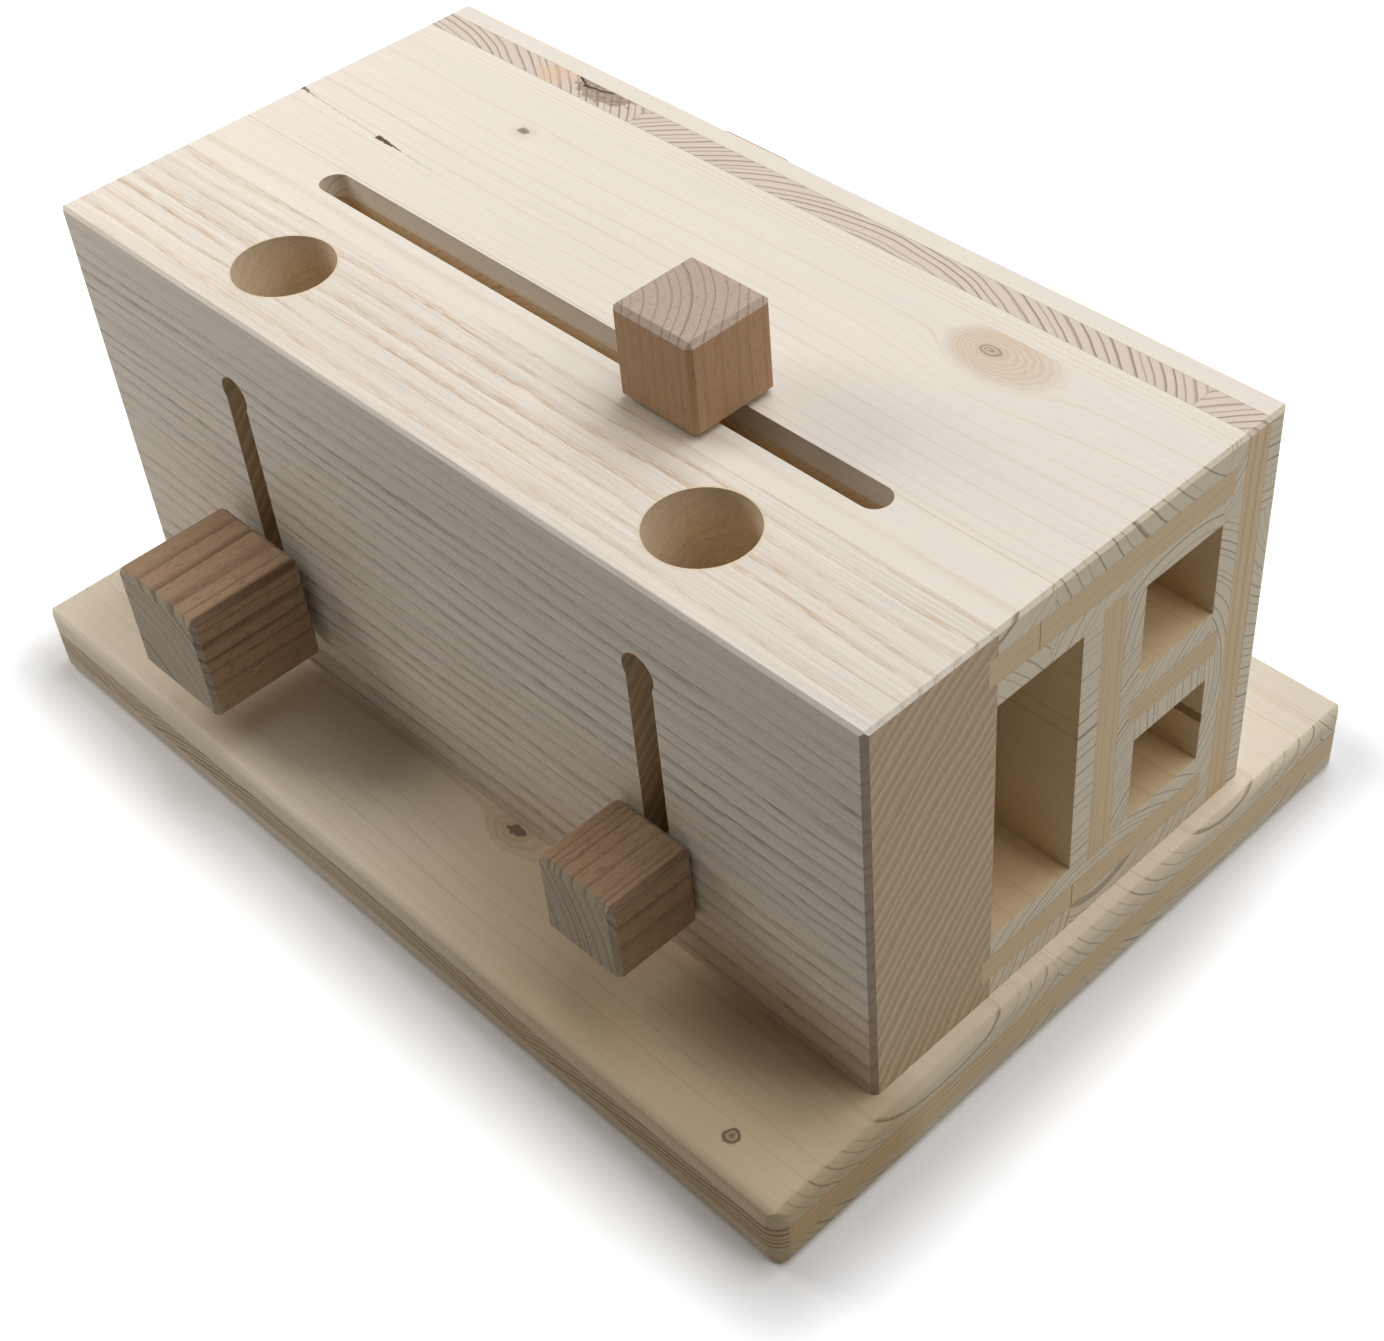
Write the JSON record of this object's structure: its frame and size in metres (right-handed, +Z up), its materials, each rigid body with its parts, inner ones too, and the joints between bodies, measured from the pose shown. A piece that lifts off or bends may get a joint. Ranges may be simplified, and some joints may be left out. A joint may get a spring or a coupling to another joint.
{
  "type": "dog treat puzzle",
  "caption": "Wooden treat puzzle for a dog: a three-ply box on a base plate, with lift wells, end-open channels and square knobs that slide in slots.",
  "frame": {"origin": "centre of the base plate's underside", "axes": "+X along the box to the right end, +Y from the front block to the rear panel, +Z up"},
  "size_m": [0.263, 0.19, 0.1471],
  "materials": {
    "spruce_panel": "sanded three-ply spruce under thin clear lacquer",
    "ash_block": "sanded solid ash under thin clear lacquer",
    "beech_knob": "sanded steamed beech under clear oil",
    "oak_knob": "sanded oak under clear oil",
    "beech_dowel": "plain turned beech",
    "pine_pusher": "sanded plain pine",
    "zinc_screw": "zinc-plated steel"
  },
  "bodies": {
    "box": {"base_plate": "spruce_panel", "front_block": "ash_block", "top_panel": "spruce_panel", "bottom_panel": "spruce_panel", "partition": "spruce_panel", "shelf": "spruce_panel", "rear_panel": "spruce_panel", "base_screws": "zinc_screw"},
    "top_slider": {"top_knob": "beech_knob", "top_pin": "beech_dowel", "tall_pusher": "pine_pusher"},
    "left_lift": {"left_knob": "oak_knob", "left_pin": "beech_dowel", "left_piston": "beech_dowel"},
    "right_lift": {"right_knob": "oak_knob", "right_pin": "beech_dowel", "right_piston": "beech_dowel"},
    "upper_slider": {"upper_knob": "beech_knob", "upper_pin": "beech_dowel", "upper_pusher": "pine_pusher"},
    "lower_slider": {"lower_knob": "beech_knob", "lower_pin": "beech_dowel", "lower_pusher": "pine_pusher"}
  },
  "joints": [
    {"name": "top_slide", "type": "slide", "parent": "box", "child": "top_slider", "axis": [1, 0, 0], "range_m": [-0.12, 0.048]},
    {"name": "left_lift_slide", "type": "slide", "parent": "box", "child": "left_lift", "axis": [0, 0, 1], "range_m": [0, 0.053]},
    {"name": "right_lift_slide", "type": "slide", "parent": "box", "child": "right_lift", "axis": [0, 0, 1], "range_m": [0, 0.053]},
    {"name": "upper_slide", "type": "slide", "parent": "box", "child": "upper_slider", "axis": [1, 0, 0], "range_m": [-0.038, 0.13]},
    {"name": "lower_slide", "type": "slide", "parent": "box", "child": "lower_slider", "axis": [1, 0, 0], "range_m": [-0.106, 0.062]}
  ]
}
